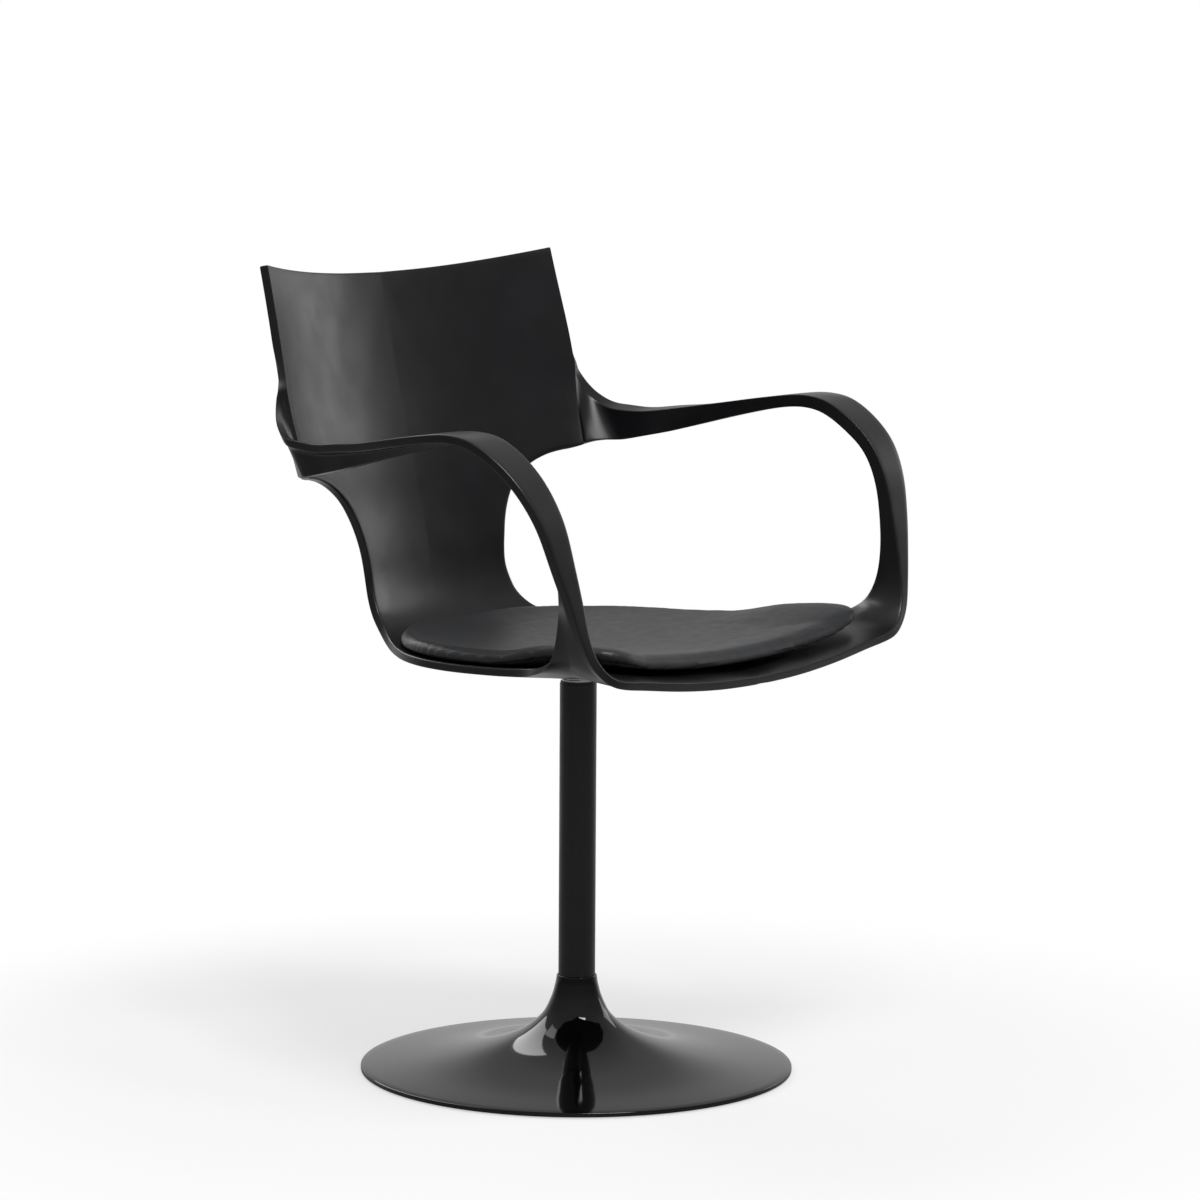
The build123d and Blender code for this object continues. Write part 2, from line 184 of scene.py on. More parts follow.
def zincPlate():
    # bright zinc plate on turned steel: cool grey. The turning marks, about 0.1 mm, are
    # drawn 0.5 mm wide so that they show.
    material, tree, shader = newMaterial("zincPlate")
    setShader(shader, Base_Color=linear("#c9cbcc"), Metallic=1.0, Roughness=0.28)
    place = grainBump(tree, shader, size=0.5, strength=0.1, depth=0.02)
    mottle(tree, shader, "Roughness", place, size=8, low=0.22, high=0.36)
    return material


def bearingSteel():
    # hardened and polished bearing steel: nearly a mirror. The lapping marks, far under
    # 0.1 mm, are drawn 0.4 mm wide so that they show.
    material, tree, shader = newMaterial("bearingSteel")
    setShader(shader, Base_Color=linear("#d2d2d0"), Metallic=1.0, Roughness=0.14)
    place = grainBump(tree, shader, size=0.4, strength=0.06, depth=0.01)
    mottle(tree, shader, "Roughness", place, size=6, low=0.1, high=0.2)
    return material


def nickelPlatedBrass():
    # turned brass, nickel-plated: pale warm metal. The lathe marks, about 0.1 mm, are
    # drawn 0.4 mm wide so that they show.
    material, tree, shader = newMaterial("nickelPlatedBrass")
    setShader(shader, Base_Color=linear("#cfc8b8"), Metallic=1.0, Roughness=0.26)
    place = grainBump(tree, shader, size=0.4, strength=0.1, depth=0.02)
    mottle(tree, shader, "Roughness", place, size=6, low=0.2, high=0.34)
    return material


def acetalBush():
    # turned acetal: matt black with a slight waxy shine. The turning marks, about 0.1 mm,
    # are drawn 0.5 mm wide so that they show.
    material, tree, shader = newMaterial("acetalBush")
    setShader(shader, Base_Color=linear("#17171a"), Roughness=0.42, IOR=1.48)
    place = grainBump(tree, shader, size=0.5, strength=0.1, depth=0.02)
    mottle(tree, shader, "Roughness", place, size=10, low=0.36, high=0.48)
    return material


def mouldedRubber():
    # moulded rubber: dull black, dusty bloom, a texture about 0.8 mm wide from the mould
    material, tree, shader = newMaterial("mouldedRubber")
    setShader(shader, Base_Color=linear("#1b1b1b"), Roughness=0.78, IOR=1.52)
    place = grainBump(tree, shader, size=0.8, strength=0.25, depth=0.08)
    mottle(tree, shader, "Base Color", place, size=20, low="#181818", high="#232322")
    return material


def sandCastIron():
    # sand-cast iron in black primer: coarse grain, 1.6 mm, from the sand mould
    material, tree, shader = newMaterial("sandCastIron")
    setShader(shader, Base_Color=linear("#303133"), Metallic=0.6, Roughness=0.62)
    place = grainBump(tree, shader, size=1.6, strength=0.5, depth=0.25, detail=4.0)
    mottle(tree, shader, "Base Color", place, size=22, low="#2a2b2d", high="#393a3b")
    return material


def wovenTape():
    # woven hook and loop tape: matt nylon pile, hooks about 0.6 mm apart
    material, tree, shader = newMaterial("wovenTape")
    setShader(shader, Base_Color=linear("#151515"), Roughness=0.9, Sheen_Weight=0.3)
    place = grainBump(tree, shader, size=0.6, strength=0.6, depth=0.3, detail=3.0)
    mottle(tree, shader, "Base Color", place, size=4, low="#111111", high="#1d1d1d")
    return material


def hardboard():
    # pressed hardboard: brown, dull, fibre bundles about 1.2 mm wide
    material, tree, shader = newMaterial("hardboard")
    setShader(shader, Base_Color=linear("#7a5a3c"), Roughness=0.7, IOR=1.5)
    place = grainBump(tree, shader, size=1.2, strength=0.3, depth=0.1, detail=4.0)
    mottle(tree, shader, "Base Color", place, size=9, low="#6c4e33", high="#8a6847")
    return material


def cutFoam():
    # cut polyurethane foam: cream, open cells about 1 mm wide
    material, tree, shader = newMaterial("cutFoam")
    setShader(shader, Base_Color=linear("#d8cfb4"), Roughness=0.95)
    place = grainBump(tree, shader, size=1.0, strength=0.6, depth=0.4)
    mottle(tree, shader, "Base Color", place, size=15, low="#cfc6a8", high="#e0d8c0")
    return material


finishes = {
    "shell_plastic": mouldedPolypropylene(),
    "base_paint": blackLacquer(),
    "column_paint": satinPowderCoat(),
    "pad_leather": blackLeather(),
    "zinc_steel": zincPlate(),
    "bearing_steel": bearingSteel(),
    "brass": nickelPlatedBrass(),
    "bush_plastic": acetalBush(),
    "rubber": mouldedRubber(),
    "cast_iron": sandCastIron(),
    "tape_fabric": wovenTape(),
    "board": hardboard(),
    "foam": cutFoam(),
}


def dressFrame():
    for part in frame["record"]["subparts"]:
        node = frame["nodes"][part["node"]]
        node.data.materials.clear()
        node.data.materials.append(finishes[part["material_slot"]])


dressFrame()
print("materials made:", len(finishes))


def addPiece(name, mesh, body, slot, replaces=()):
    piece = bpy.data.objects.new(name, mesh)
    bpy.context.scene.collection.objects.link(piece)
    mesh.materials.append(finishes[slot])
    for face in mesh.polygons:
        face.use_smooth = True
    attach(piece, body)
    if replaces:
        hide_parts(*replaces)
    return piece


def meshFrom(name, mesh):
    # the finished mesh, with its faces turned outwards
    bmesh.ops.recalc_face_normals(mesh, faces=mesh.faces)
    data = bpy.data.meshes.new(name)
    mesh.to_mesh(data)
    mesh.free()
    return data


def through(points, steps, corners=(), closed=False):
    # a smooth run through points, evenly divided between each two
    count = len(points)
    result = []
    last = count if closed else count - 1

    def pull(i, side):
        if i in corners or (not closed and i in (0, count - 1)):
            other = (i + side) % count
            span = (points[other] - points[i]).length
            return (points[other] - points[i]) * (side / span if span else 0)
        before, after = points[i - 1], points[(i + 1) % count]
        span = (points[i] - before).length + (after - points[i]).length
        return (after - before) * (1 / span if span else 0)

    for i in range(last):
        a, b = points[i], points[(i + 1) % count]
        span = (b - a).length
        first, second = pull(i, 1) * span, pull((i + 1) % count, -1) * span
        for k in range(steps):
            t = k / steps
            result.append(
                a * (2 * t**3 - 3 * t**2 + 1)
                + first * (t**3 - 2 * t**2 + t)
                + b * (3 * t**2 - 2 * t**3)
                + second * (t**3 - t**2)
            )
    if not closed:
        result.append(points[-1].copy())
    return result


# Middle line of the sitting face from the top of the back to the front edge:
# y, z and the radius of the cross curve.
sheet = {
    "steps": 16,  # points from one row of the line to the next
    "backEnd": 8.4,  # a height is looked for down to this row of the line
    "seatStart": 7.0,  # and a depth from this row on
    "line": [
        (265, 832, 585),
        (253, 775, 566),
        (240, 715, 560),
        (226, 655, 590),
        (209, 590, 560),
        (196, 530, 520),
        (190, 492, 520),
        (178, 462, 560),
        (152, 438.5, 640),
        (118, 428.5, 850),
        (60, 425.5, 1250),
        (0, 426, 1500),
        (-60, 427.5, 1520),
        (-120, 430.5, 1450),
        (-165, 432.5, 1350),
        (-198, 431.5, 1320),
        (-222, 427.5, 1320),
        (-244, 421, 1320),
    ],
}
sheetPath = through([Vector(p) for p in sheet["line"]], sheet["steps"])


def sheetPoint(place, x):
    # point of the sitting face and the direction out of its rear face
    i = min(max(int(place), 0), len(sheetPath) - 2)
    here = sheetPath[i].lerp(sheetPath[i + 1], place - i)
    low, high = max(i - 1, 0), min(i + 2, len(sheetPath) - 1)
    before = sheetPath[low].lerp(sheetPath[low + 1], place - i)
    after = sheetPath[high - 1].lerp(sheetPath[high], place - i)
    run, rise = after.x - before.x, after.y - before.y
    face = Vector((0, rise, -run)).normalized()
    radius = here.z
    drop = math.sqrt(radius**2 - x**2)
    point = Vector((x, here.x, here.y)) + face * (radius - drop)
    return point, Vector((x / radius, 0, 0)) - face * (drop / radius)


def sheetPlace(x, axis, value):
    # where along the sheet a given y (axis 1) or z (axis 2) is reached, by halving
    low, high = 0.0, len(sheetPath) - 1.0
    if axis == 2:
        high = sheet["backEnd"] * sheet["steps"]
    else:
        low = sheet["seatStart"] * sheet["steps"]
    for _ in range(40):
        middle = (low + high) / 2
        if sheetPoint(middle, x)[0][axis] > value:
            low = middle
        else:
            high = middle
    return (low + high) / 2


shell = {
    "thickness": 8.5,
    "edgeRound": 1.7,  # how close the support rows stand to the edges
    "closest": (0.4, 0.45),  # but no further than this share of a face, and of a last row
    "tuck": 0.3,  # the same on the sitting face, as a share of its first row
    "ringSteps": 3,
    "frontRows": 6,
    "rearRows": 5,
    "faceRows": 3,  # rows that edgeWalk gives to each face
    # share of the way from the web to the ribbon's end at which the lip stands: where the
    # arm is level, how much more where it stands up, and the pitch that counts as up
    "lipShare": (0.1, 0.4, 60),
    "lipReach": 2.2,  # the same off the arm, in edge heights
    # arm on the +X side: inner top corner of the ribbon, heading, pitch, lean, bank,
    # top width, depth of the inner face, web thickness, rise of the outer corner,
    # arch of the slice between its ends
    "arm": [
        ((238, 187, 689), 84, -14.5, 6.2, 0, 9.6, 77, 7.2, 2.4, 0),
        ((246.6, 181.6, 670.6), 103, -22, 4.2, 0, 12, 58, 7.6, 2.6, 0),
        ((252.9, 170.9, 658.9), 106, -24.9, 0.7, 0, 14, 45.5, 8, 3, 0),
        ((255, 158, 652.5), 99, -21.5, -1.5, 0, 17, 37.5, 8.5, 3.6, 0),
        ((255.3, 140, 650), 91, -9, -2.3, 0, 19, 32, 8.5, 4, 0),
        ((257.5, 111, 650), 86, -4.6, -4, 0, 21.5, 26.5, 8.5, 1.5, 0),
        ((263, 80, 654), 86, -4, -4.8, 0, 23.5, 24, 8.5, 0.5, 0),
        ((268, 48, 659.2), 88, -7, 0, 0, 27, 20.5, 8.5, 0, 0),
        ((270.5, 14, 664.5), 90, -9, 0, 0, 33.5, 17, 8.5, 0, 0),
        ((271.5, -20, 670), 90, -9, 0, 0, 40, 14.5, 8.5, 0, 0),
        ((272, -53, 674.7), 90, -6, 0, 0, 45.5, 12.7, 9, 0, 0),
        ((272, -84, 677.3), 90, 1, 0, 0, 49, 12.8, 9, 0, 0),
        ((272, -114, 672.3), 90, 19, 0, 0, 49.5, 13.3, 9, 0, 0),
        ((273, -146, 653.5), 90, 40, 0, 0, 46, 13.8, 9, 0, 0),
        ((274, -171, 629), 90, 55, 0, 0, 41, 13, 9, 0, 0),
        ((272, -189, 596), 90, 67, 0, 0, 35, 14, 9, 0, 0),
        ((270, -200, 556), 90, 76, 0, 0, 28, 17, 9, 0, 0),
        ((268, -208, 522), 90, 80, 0, 0, 20, 23, 9, 0, 0),
        ((266, -213.5, 493), 90, 84, 0, 6, 14, 33, 9, 0, 1.5),
        ((260.5, -218.5, 470.5), 90, 88, 0, 26, 11, 49, 8.5, 0, 4),
        ((248, -223, 454.5), 90, 91, 0, 47, 9, 77, 8.5, 0, 7),
        ((230.5, -226, 445.8), 90, 92, 0, 64, 8, 105, 8, 0, 5),
    ],
    "armEdge": 8.5,
    # outer and inner edge of the rest of the +X half, from the arm's foot along
    # the front edge, up the middle and down the side of the back: x, axis, value.
    # Beside the arm also how far the inner edge turns forward, and the outer corner.
    "edges": [
        ((190, "y", -227), (221, "y", -100)),
        ((130, "y", -228), (215, "y", -78)),
        ((65, "y", -228.8), (211, "y", -56)),
        ((0, "y", -229), (207, "y", -32)),
        ((0, "y", -165), (203, "y", -6)),
        ((0, "y", -100), (198, "y", 22)),
        ((0, "y", -40), (190, "y", 52)),
        ((0, "y", 20), (176, "y", 82)),
        ((0, "y", 75), (156, "y", 110)),
        ((0, "y", 120), (136, "y", 134)),
        ((0, "y", 150), (122, "y", 153)),
        ((0, "z", 455), (115, "z", 467)),
        ((0, "z", 480), (112, "z", 481)),
        ((0, "z", 505), (110, "z", 497)),
        ((0, "z", 535), (111, "z", 513)),
        ((0, "z", 575), (113.5, "z", 528)),
        ((0, "z", 625), (117, "z", 542)),
        ((0, "z", 680), (122, "z", 555)),
        ((0, "z", 740), (129, "z", 568)),
        ((0, "z", 803), (138, "z", 580)),
        ((60, "z", 804.3), (150, "z", 590)),
        ((115, "z", 807.6), (166, "z", 599)),
        ((165, "z", 812.5), (184, "z", 605.5)),
        ((205, "z", 817.7), (199, "z", 608.7)),
        ((226, "z", 820.9), (207, "z", 609.9)),
        ((229.6, "z", 821.4), (209, "z", 610.1)),
        ((229.8, "z", 817.8), (211, "z", 610.3)),
        ((230.5, "z", 795), (215.5, "z", 611)),
        ((232, "z", 765), (219.5, "z", 611.7), 0.3),
        ((233.3, "z", 740), (222, "z", 612.2), 0.6),
        ((234, "z", 722), (223.7, "z", 612.6), 0.9, (237.6, 193.8, 722.3)),
        ((234.6, "z", 709), (225, "z", 612.9), 1.2, (240.2, 191.5, 709.4)),
        ((235.8, "z", 698.5), (226.5, "z", 613.3), 1.5, (244, 189.3, 699.4)),
    ],
    "middle": (3, 19),  # first and last of these on the middle line
    "topCorner": 25,  # and the one at the top corner of the back
}


def edgeWalk(corners, rounding):
    # the corners of a section, each with a support point close on both sides
    for a, b in zip(corners, corners[1:]):
        span = (b - a).length
        step = min(rounding / span, shell["closest"][0]) if span else 0
        yield a
        yield a.lerp(b, step)
        yield a.lerp(b, 1 - step)


def section(front, ribbon, rear, rounding):
    # one slice of the shell: sitting face, ribbon face, rear face, hole edge
    def support(end, before):
        share = rounding / (end - before).length
        return end.lerp(before, min(shell["closest"][1], share))

    points = [front[0], front[0].lerp(front[1], shell["tuck"])]
    points += [*front[1:-1], support(front[-1], front[-2])]
    points += [*edgeWalk(ribbon, rounding), ribbon[-1]]
    points += [*rear[:-1], support(rear[-1], rear[-2])]
    points += edgeWalk([rear[-1], front[0]], rounding)
    return points


def armSection(station):
    # a slice across the arm
    corner, yaw, pitch, lean, bank, width, depth, web, rise, arch = station
    level, more, upright = shell["lipShare"]
    diagonal = level + more * max(0, min(1, pitch / upright))
    yaw, pitch, lean, bank = [math.radians(a) for a in (yaw, pitch, lean, bank)]
    up = Vector((0, 0, 1))
    ahead = Vector((math.cos(yaw), -math.sin(yaw), 0))
    across = Vector((math.sin(yaw), math.cos(yaw), 0))
    path = ahead * math.cos(pitch) - up * math.sin(pitch)
    inward = -ahead * math.sin(pitch) - up * math.cos(pitch)
    across, path = (
        across * math.cos(bank) + path * math.sin(bank),
        path * math.cos(bank) - across * math.sin(bank),
    )
    across = across * math.cos(lean) + inward * math.sin(lean)
    inward = across.cross(path)

    def at(a, b):
        bend = arch * 4 * b / depth * (1 - b / depth)  # a parabola, arch high
        return Vector(corner) + across * (a - bend) + inward * b

    edge = shell["armEdge"] - rise
    lip = (web + (width - web) * diagonal, edge + (depth - edge) * diagonal)
    rows = shell["frontRows"] + 1
    front = [at(0, depth * (1 - i / rows)) for i in range(rows + 1)]
    ribbon = [at(0, 0), at(width, -rise), at(width, edge), at(*lip)]
    rows = shell["rearRows"] + 1
    rear = []
    for i in range(1, rows + 1):
        t = i / rows
        rear.append(at(lip[0] + (web - lip[0]) * t, lip[1] + (depth - lip[1]) * t))
    return section(front, ribbon, rear, shell["edgeRound"])


def edgeSection(outer, inner, turn=0, corner=None):
    # a slice beside the arm or across the middle, between its outer and inner edge
    places = []
    for x, axis, value in (inner, outer):
        places.append((sheetPlace(x, 1 if axis == "y" else 2, value), x))
    (hole, holeX), (rim, rimX) = places

    def at(t, lift):
        point, out = sheetPoint(hole + (rim - hole) * t, holeX + (rimX - holeX) * t)
        return point + out * lift

    rows = shell["frontRows"] + 1
    front = [at(i / rows, turn * (i / rows - 1)) for i in range(rows + 1)]
    span = (at(1, 0) - at(0.9, 0)).length * 10
    thick, edge = shell["thickness"], shell["armEdge"]
    lower, lip = 1 - edge / span, 1 - shell["lipReach"] * edge / span
    ribbon = [at(1, 0), at(1, thick), at(lower, thick), at(lip, thick)]
    if corner:
        ribbon[1] = Vector(corner)
        ribbon[2] = ribbon[1] + (at(lower, 0) - at(1, 0))
    rows = shell["rearRows"] + 1
    rear = [at(lip * (1 - i / rows), thick - turn * i / rows) for i in range(1, rows + 1)]
    return section(front, ribbon, rear, shell["edgeRound"])


def seatShell():
    slices = [armSection(s) for s in shell["arm"]]
    armCount = len(slices)
    slices += [edgeSection(*pair) for pair in shell["edges"]]
    first, last = [armCount + i for i in shell["middle"]]
    corners = (first, last, armCount + shell["topCorner"])
    rows = len(slices[0])
    borderRow = shell["frontRows"] + 3  # the row where the ribbon face starts
    nextRow = borderRow + shell["faceRows"]  # and where it ends
    lipRow = borderRow + 3 * shell["faceRows"]
    steps = shell["ringSteps"]
    lines = []
    for row in range(rows):
        sharp = corners if borderRow - 1 <= row <= lipRow else ()
        lines.append(through([s[row] for s in slices], steps, sharp, closed=True))
    mesh = bmesh.new()
    columns = len(lines[0])
    grid = [[mesh.verts.new(lines[r][c] * mm) for r in range(rows)] for c in range(columns)]
    for c in range(columns):
        inMiddle = first * steps <= c < last * steps
        for r in range(rows):
            if inMiddle and borderRow <= r < nextRow:
                continue
            n, m = (c + 1) % columns, (r + 1) % rows
            mesh.faces.new([grid[c][r], grid[c][m], grid[n][m], grid[n][r]])
    for c in range(first * steps, last * steps + 1):
        for vert in grid[c][borderRow], grid[c][nextRow]:
            vert.co.x = 0
    loose = [v for v in mesh.verts if not v.link_faces]
    bmesh.ops.delete(mesh, geom=loose, context="VERTS")
    data = meshFrom("seatShell", mesh)
    piece = addPiece("seatShell", data, "seat", "shell_plastic", ["seat_shell"])
    twin = piece.modifiers.new("otherHalf", "MIRROR")
    twin.merge_threshold = 0.05 * mm
    smooth = piece.modifiers.new("smooth", "SUBSURF")
    smooth.levels = smooth.render_levels = 1


def joinRings(mesh, pairs):
    # faces between rings of equally many points, also where a ring is a single point
    for a, b in pairs:
        for i in range(len(a)):
            n = (i + 1) % len(a)
            corners = list(dict.fromkeys([a[i], a[n], b[n], b[i]]))
            if len(corners) > 2:
                mesh.faces.new(corners)


def turned(mesh, profile, sides, closed=True):
    # a profile of radius and height in mm, turned round the swivel axis
    rings = []
    for point in profile:
        if point[0] < 0.001:
            rings.append([mesh.verts.new((0, 0, point[1] * mm))] * sides)
            continue
        ring = []
        for i in range(sides):
            turn = 2 * math.pi * i / sides
            spot = (point[0] * math.cos(turn), point[0] * math.sin(turn), point[1])
            ring.append(mesh.verts.new(Vector(spot) * mm))
        rings.append(ring)
    pairs = list(zip(rings, rings[1:]))
    if closed:
        pairs.append((rings[-1], rings[0]))
    joinRings(mesh, pairs)


mount = {
    "foot": 415.04,  # the face that the seat plate is screwed to
    "top": 421,  # inside the sheet
    "radius": 48,
    # points of the disc's rim and of its flare, outwards from the radius and up from the foot
    "rim": [(-6, 0), (-1.2, 0), (-0.35, 0.3), (0, 1.1)],
    "flare": [(0.6, 2), (2.2, 2.9), (6, 3.9)],
    "sides": 96,
    "bossRadius": 11,
    "bossRim": [(-0.8, 0), (-0.2, 0.3), (0, 0.9)],
    "bossPitch": 72,
    "bossSides": 32,
    "bore": 4.4,
    "boreDepth": 3,
}


def shellMount():
    # the moulded disc and the four screw bosses under the seat
    mesh = bmesh.new()
    foot, top, radius, bore = [mount[k] for k in ("foot", "top", "radius", "bore")]
    outside = [(radius + a, foot + b) for a, b in mount["rim"] + mount["flare"]]
    profile = [(0, foot), *outside, (outside[-1][0], top), (0, top)]
    turned(mesh, profile, mount["sides"], closed=False)
    radius = mount["bossRadius"]
    outside = [(radius + a, foot + b) for a, b in mount["bossRim"]]
    hole = [(bore, foot + mount["boreDepth"]), (bore, foot)]
    half = mount["bossPitch"] / 2 * mm
    for side in (-1, 1):
        for end in (-1, 1):
            before = len(mesh.verts)
            turned(mesh, [*hole, *outside, (radius, top), (bore, top)], mount["bossSides"])
            mesh.verts.ensure_lookup_table()
            bmesh.ops.translate(mesh, vec=(side * half, end * half, 0), verts=mesh.verts[before:])
    addPiece("shellMount", meshFrom("shellMount", mesh), "seat", "shell_plastic")


base = {
    # outside of the spun trumpet, from the neck down: radius, height
    "trumpet": [
        (20.3, 98), (21.8, 89), (26.2, 74), (36, 56),
        (60, 37.5), (100, 22.8), (150, 13), (218.9, 5.7),
    ],
    "rim": [(219.6, 5.45), (219.95, 4.9), (220, 4.1), (220, 2.3), (219.8, 1.6), (219.2, 1.2)],
    "rimInside": [(218.2, 1.2), (217.7, 1.5), (217.6, 2.2)],
    "lip": [(18.9, 97.7), (19.2, 98), (19.8, 98), (20.2, 97.8)],  # from the bore to the neck
    "skin": 2.4,
    "clear": 1,  # the inside line ends this far before the rim and the lip
    "steps": 9,
    "sides": 192,
}


def pedestalBase():
    line = through([Vector(p) for p in base["trumpet"]], base["steps"])
    bore = base["lip"][0][0]
    widest = base["rimInside"][-1][0] - base["clear"]
    highest = base["trumpet"][0][1] - base["clear"]
    inside = []
    for i in range(len(line) - 2, 0, -1):
        way = (line[i + 1] - line[i - 1]).normalized()
        spot = line[i] + Vector((way.y, -way.x)) * base["skin"]
        if spot.x < widest and spot.y < highest:
            inside.append((max(spot.x, bore), spot.y))
    outside = [tuple(v) for v in line[1:]]
    mesh = bmesh.new()
    turned(mesh, outside + base["rim"] + base["rimInside"] + inside + base["lip"], base["sides"])
    addPiece("pedestalBase", meshFrom("pedestalBase", mesh), "base", "base_paint", ["base_cover"])


pad = {
    # +X half of the outline from above, rear to front, with its two ends
    "outline": [
        (0, 157), (58, 154), (102, 142), (140, 118), (171, 83),
        (190, 40), (201, -12), (208, -62), (213, -112), (217, -152),
        (216, -184), (200, -202), (158, -206.5), (84, -208), (0, -208.5),
    ],
    "steps": 6,  # points from one of these to the next
    "middle": (0, -25),  # the rings close round this point
    "foot": 2.66,  # over the sitting face, on the tapes
    "thick": 12.4,
    "crown": 0.4,
    "crownPower": 1.2,
    "under": [0.25, 0.5, 0.75, 0.93],  # rings of the underside, as shares of the outline
    "lowSide": [(3.2, 0), (1.2, 0.8), (0.2, 2.6), (0, 5.5)],  # inset, height
    "highSide": [(0, 7.5), (0.7, 4.6), (2.4, 2.1), (4.9, 0.6), (8, 0)],  # inset, depth from top
    "over": [0.93, 0.86, 0.75, 0.62, 0.48, 0.32, 0.16],  # rings of the top
    "frontLift": 7.5,  # the front corners stand off the shell
    "liftAside": (120, 200),  # where the lift starts and is full, sideways and forward
    "liftAhead": (40, 125),
    "liftFront": (150, 205),  # the same for the front edge, which lifts by a share of it
    "frontShare": 0.5,
    "grid": 8,  # of the heights of the sitting face under it
    "gridAside": 248,
    "gridAhead": (-240, 184),
    "voxel": 4,
    "pressure": 2,
    "frames": 20,
    "heldUnder": 1.5,  # what lies lower stays on the tapes
    "cap": (1.6, 1.2),  # most that the top and the sides may swell
    "fill": 0.6,
}


def faceHeights():
    # heights of the sitting face, from a grid over its +X half
    step = pad["grid"]
    xs, ys = range(0, pad["gridAside"], step), range(*pad["gridAhead"], step)
    table = {}
    for x in xs:
        for y in ys:
            table[x, y] = sheetPoint(sheetPlace(x, 1, y), x)[0].z

    def height(x, y):
        x = min(abs(x), xs[-1] - 0.01)
        y = min(max(y, ys[0]), ys[-1] - 0.01)
        x0, y0 = int(x // step) * step, int(y // step) * step
        s, t = (x - x0) / step, (y - y0) / step
        near = table[x0, y0] * (1 - s) + table[x0 + step, y0] * s
        far = table[x0, y0 + step] * (1 - s) + table[x0 + step, y0 + step] * s
        return near * (1 - t) + far * t

    return height


def ease(value, low, high):
    # 0 up to low, 1 from high on, smooth between them
    t = min(max((value - low) / (high - low), 0), 1)
    return t * t * (3 - 2 * t)


def padLift(x, y):
    corner = ease(abs(x), *pad["liftAside"]) * ease(-y, *pad["liftAhead"])
    front = pad["frontShare"] * ease(-y, *pad["liftFront"])
    return pad["frontLift"] * max(corner, front)


def seatPad():
    right = [Vector(p) for p in pad["outline"]]
    left = [Vector((-p.x, p.y)) for p in reversed(right[1:-1])]
    loop = through(right + left, pad["steps"], closed=True)
    count = len(loop)
    height = faceHeights()
    thick = pad["thick"]
    side = pad["lowSide"] + [(inset, thick - depth) for inset, depth in pad["highSide"]]
    middle = Vector(pad["middle"])
    mesh = bmesh.new()

    def spot(point, rise):
        foot = height(point.x, point.y) + pad["foot"] + padLift(point.x, point.y)
        return mesh.verts.new(Vector((point.x, point.y, foot + rise)) * mm)

    rings = [[spot(middle, 0)] * count]
    for scale in pad["under"]:
        rings.append([spot(middle.lerp(p, scale), 0) for p in loop])
    for inset, rise in side:
        ring = []
        for i, point in enumerate(loop):
            way = (loop[(i + 1) % count] - loop[i - 1]).normalized()
            ring.append(spot(point + Vector((way.y, -way.x)) * inset, rise))
        rings.append(ring)
    for scale in pad["over"]:
        crown = pad["crown"] * (1 - scale**2) ** pad["crownPower"]
        rings.append([spot(middle.lerp(p, scale), thick + crown) for p in loop])
    rings.append([spot(middle, thick + pad["crown"])] * count)
    joinRings(mesh, zip(rings, rings[1:]))
    inside = ["pad_cover", "pad_foam", "pad_board"]
    piece = addPiece("seatPad", meshFrom("seatPad", mesh), "seat", "pad_leather", inside)
    swell(piece, height)
    smooth = piece.modifiers.new("smooth", "SUBSURF")
    smooth.levels = smooth.render_levels = 1


def swell(piece, height):
    # the sewn cover, blown up by its filling: voxel remesh, then cloth under pressure
    remesh = piece.modifiers.new("remesh", "REMESH")
    remesh.mode = "VOXEL"
    remesh.voxel_size = pad["voxel"] * mm
    graph = bpy.context.evaluated_depsgraph_get()
    data = bpy.data.meshes.new_from_object(piece.evaluated_get(graph))
    piece.modifiers.remove(remesh)
    piece.data = data
    held = piece.vertex_groups.new(name="held")
    start = []
    for vert in data.vertices:
        x, y, z = vert.co / mm
        start.append(vert.co.copy())
        rise = z - height(x, y) - pad["foot"] - padLift(x, y)
        if rise < pad["heldUnder"]:
            held.add([vert.index], 1.0, "REPLACE")
    cloth = piece.modifiers.new("cloth", "CLOTH")
    cloth.settings.use_pressure = True
    cloth.settings.uniform_pressure_force = pad["pressure"]
    cloth.settings.vertex_group_mass = "held"
    cloth.settings.effector_weights.gravity = 0
    for step in range(pad["frames"]):
        bpy.context.scene.frame_set(step + 1)
    graph = bpy.context.evaluated_depsgraph_get()
    blown = bpy.data.meshes.new_from_object(piece.evaluated_get(graph))
    topCap, sideCap = pad["cap"]
    for vert, was, new in zip(data.vertices, start, blown.vertices):
        move = new.co - was
        cap = (sideCap + (topCap - sideCap) * max(vert.normal.z, 0)) * mm
        if move.length > cap:
            move *= cap / move.length
        vert.co = was + move
    piece.modifiers.remove(cloth)
    bpy.data.meshes.remove(blown)
    bpy.context.scene.frame_set(1)
    for face in data.polygons:
        face.use_smooth = True


seatShell()
shellMount()
print("shell made")
pedestalBase()
print("base made")
seatPad()
print("pad made")


